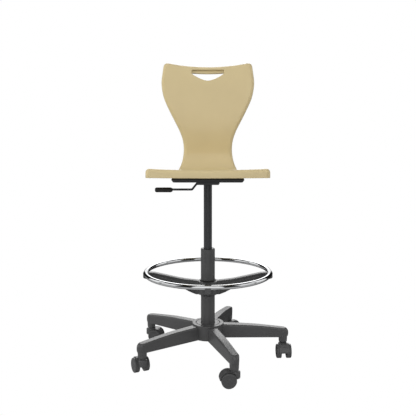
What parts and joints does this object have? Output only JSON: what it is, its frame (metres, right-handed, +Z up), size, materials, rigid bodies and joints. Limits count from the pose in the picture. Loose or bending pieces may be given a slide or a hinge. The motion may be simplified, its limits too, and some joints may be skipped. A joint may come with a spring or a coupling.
{
  "type": "adjustable swivel stool",
  "caption": "Draughtsman swivel stool: moulded seat and back shell with a hand slot, gas lift with lever, chromed foot ring, star base on twin-wheel castors.",
  "frame": {"origin": "on the floor, on the axis of the column", "axes": "+Z up, the sitter faces -Y, +X to the sitter's left"},
  "size_m": [0.5631, 0.5697, 1.0673],
  "materials": {
    "beige_plastic": "satin, finely grained",
    "charcoal_plastic": "satin, finely grained",
    "castor_plastic": "satin",
    "black_plastic": "satin",
    "black_paint": "satin powder coat",
    "charcoal_paint": "satin powder coat",
    "chrome": "polished",
    "steel": "zinc plated or ground",
    "rubber": "matt"
  },
  "bodies": {
    "base": {"base_star": "charcoal_plastic", "hub_sleeve": "steel", "standpipe": "charcoal_paint", "column_bush": "black_plastic", "bearing_lower_race": "steel"},
    "lift_rod": {"piston_rod": "steel", "bearing_cage": "black_plastic", "bearing_upper_race": "steel", "rod_bumper": "rubber", "retaining_clip": "steel"},
    "seat": {"gas_cylinder": "black_paint", "rod_guide": "black_plastic", "taper_socket": "steel", "mechanism_housing": "black_paint", "mounting_plate": "black_paint", "lever_pivot_pin": "steel", "seat_shell": "beige_plastic", "seat_screw_1": "steel", "seat_screw_2": "steel", "seat_screw_3": "steel", "seat_screw_4": "steel"},
    "lever": {"lever_rod": "black_paint", "lever_grip": "black_plastic"},
    "release": {"release_pin": "steel"},
    "collet": {"ring_collet": "black_plastic"},
    "foot_rest": {"foot_ring_carrier": "charcoal_plastic", "foot_ring": "chrome", "ring_screw_1": "steel", "ring_screw_2": "steel", "ring_screw_3": "steel", "ring_screw_4": "steel"},
    "castor_1": {"castor_1_hood": "charcoal_plastic", "castor_1_stem": "steel", "castor_1_axle": "steel"},
    "castor_1_wheel_left": {"castor_1_wheel_left": "castor_plastic"},
    "castor_1_wheel_right": {"castor_1_wheel_right": "castor_plastic"},
    "castor_2": {"castor_2_hood": "charcoal_plastic", "castor_2_stem": "steel", "castor_2_axle": "steel"},
    "castor_2_wheel_left": {"castor_2_wheel_left": "castor_plastic"},
    "castor_2_wheel_right": {"castor_2_wheel_right": "castor_plastic"},
    "castor_3": {"castor_3_hood": "charcoal_plastic", "castor_3_stem": "steel", "castor_3_axle": "steel"},
    "castor_3_wheel_left": {"castor_3_wheel_left": "castor_plastic"},
    "castor_3_wheel_right": {"castor_3_wheel_right": "castor_plastic"},
    "castor_4": {"castor_4_hood": "charcoal_plastic", "castor_4_stem": "steel", "castor_4_axle": "steel"},
    "castor_4_wheel_left": {"castor_4_wheel_left": "castor_plastic"},
    "castor_4_wheel_right": {"castor_4_wheel_right": "castor_plastic"},
    "castor_5": {"castor_5_hood": "charcoal_plastic", "castor_5_stem": "steel", "castor_5_axle": "steel"},
    "castor_5_wheel_left": {"castor_5_wheel_left": "castor_plastic"},
    "castor_5_wheel_right": {"castor_5_wheel_right": "castor_plastic"}
  },
  "joints": [
    {"name": "seat_swivel", "type": "hinge", "parent": "base", "child": "lift_rod", "pos_m": [0, 0, 0.08], "axis": [0, 0, 1], "continuous": true},
    {"name": "seat_lift", "type": "slide", "parent": "lift_rod", "child": "seat", "axis": [0, 0, 1], "range_m": [-0.2, 0]},
    {"name": "lever_pull", "type": "hinge", "parent": "seat", "child": "lever", "pos_m": [-0.0233, 0, 0.6466], "axis": [0, 1, 0], "range_deg": [0, 5], "stiffness_Nm_per_rad": 2, "springref_deg": -2.86},
    {"name": "release_press", "type": "slide", "parent": "seat", "child": "release", "axis": [0, 0, -1], "range_m": [0, 0.0022]},
    {"name": "ring_height", "type": "slide", "parent": "base", "child": "collet", "axis": [0, 0, 1], "range_m": [-0.1, 0.08]},
    {"name": "ring_turn", "type": "hinge", "parent": "collet", "child": "foot_rest", "pos_m": [0, 0, 0.256], "axis": [0, 0, 1], "range_deg": [0, 40]},
    {"name": "castor_1_swivel", "type": "hinge", "parent": "base", "child": "castor_1", "pos_m": [-0.22005, -0.15988, 0.0538], "axis": [0, 0, 1], "continuous": true},
    {"name": "castor_1_left_spin", "type": "hinge", "parent": "castor_1", "child": "castor_1_wheel_left", "pos_m": [-0.24506, -0.1507, 0.025], "axis": [-0.8942, -0.4478, 0], "continuous": true},
    {"name": "castor_1_right_spin", "type": "hinge", "parent": "castor_1", "child": "castor_1_wheel_right", "pos_m": [-0.21242, -0.13436, 0.025], "axis": [-0.8942, -0.4478, 0], "continuous": true},
    {"name": "castor_2_swivel", "type": "hinge", "parent": "base", "child": "castor_2", "pos_m": [-0.22005, 0.15988, 0.0538], "axis": [0, 0, 1], "continuous": true},
    {"name": "castor_2_left_spin", "type": "hinge", "parent": "castor_2", "child": "castor_2_wheel_left", "pos_m": [-0.19681, 0.17289, 0.025], "axis": [0.2419, 0.9703, 0], "continuous": true},
    {"name": "castor_2_right_spin", "type": "hinge", "parent": "castor_2", "child": "castor_2_wheel_right", "pos_m": [-0.20564, 0.13748, 0.025], "axis": [0.2419, 0.9703, 0], "continuous": true},
    {"name": "castor_3_swivel", "type": "hinge", "parent": "base", "child": "castor_3", "pos_m": [0.08405, 0.25869, 0.0538], "axis": [0, 0, 1], "continuous": true},
    {"name": "castor_3_left_spin", "type": "hinge", "parent": "castor_3", "child": "castor_3_wheel_left", "pos_m": [0.11063, 0.25695, 0.025], "axis": [0.7314, 0.682, 0], "continuous": true},
    {"name": "castor_3_right_spin", "type": "hinge", "parent": "castor_3", "child": "castor_3_wheel_right", "pos_m": [0.08394, 0.23205, 0.025], "axis": [0.7314, 0.682, 0], "continuous": true},
    {"name": "castor_4_swivel", "type": "hinge", "parent": "base", "child": "castor_4", "pos_m": [0.272, 0, 0.0538], "axis": [0, 0, 1], "continuous": true},
    {"name": "castor_4_left_spin", "type": "hinge", "parent": "castor_4", "child": "castor_4_wheel_left", "pos_m": [0.29092, -0.01875, 0.025], "axis": [0.9994, 0.0349, 0], "continuous": true},
    {"name": "castor_4_right_spin", "type": "hinge", "parent": "castor_4", "child": "castor_4_wheel_right", "pos_m": [0.25444, -0.02003, 0.025], "axis": [0.9994, 0.0349, 0], "continuous": true},
    {"name": "castor_5_swivel", "type": "hinge", "parent": "base", "child": "castor_5", "pos_m": [0.08405, -0.25869, 0.0538], "axis": [0, 0, 1], "continuous": true},
    {"name": "castor_5_left_spin", "type": "hinge", "parent": "castor_5", "child": "castor_5_wheel_left", "pos_m": [0.06702, -0.27917, 0.025], "axis": [0.1219, -0.9925, 0], "continuous": true},
    {"name": "castor_5_right_spin", "type": "hinge", "parent": "castor_5", "child": "castor_5_wheel_right", "pos_m": [0.06257, -0.24294, 0.025], "axis": [0.1219, -0.9925, 0], "continuous": true}
  ],
  "couplings": [
    {"joint": "release_press", "follows": "lever_pull", "m_per_rad": 0.024}
  ]
}
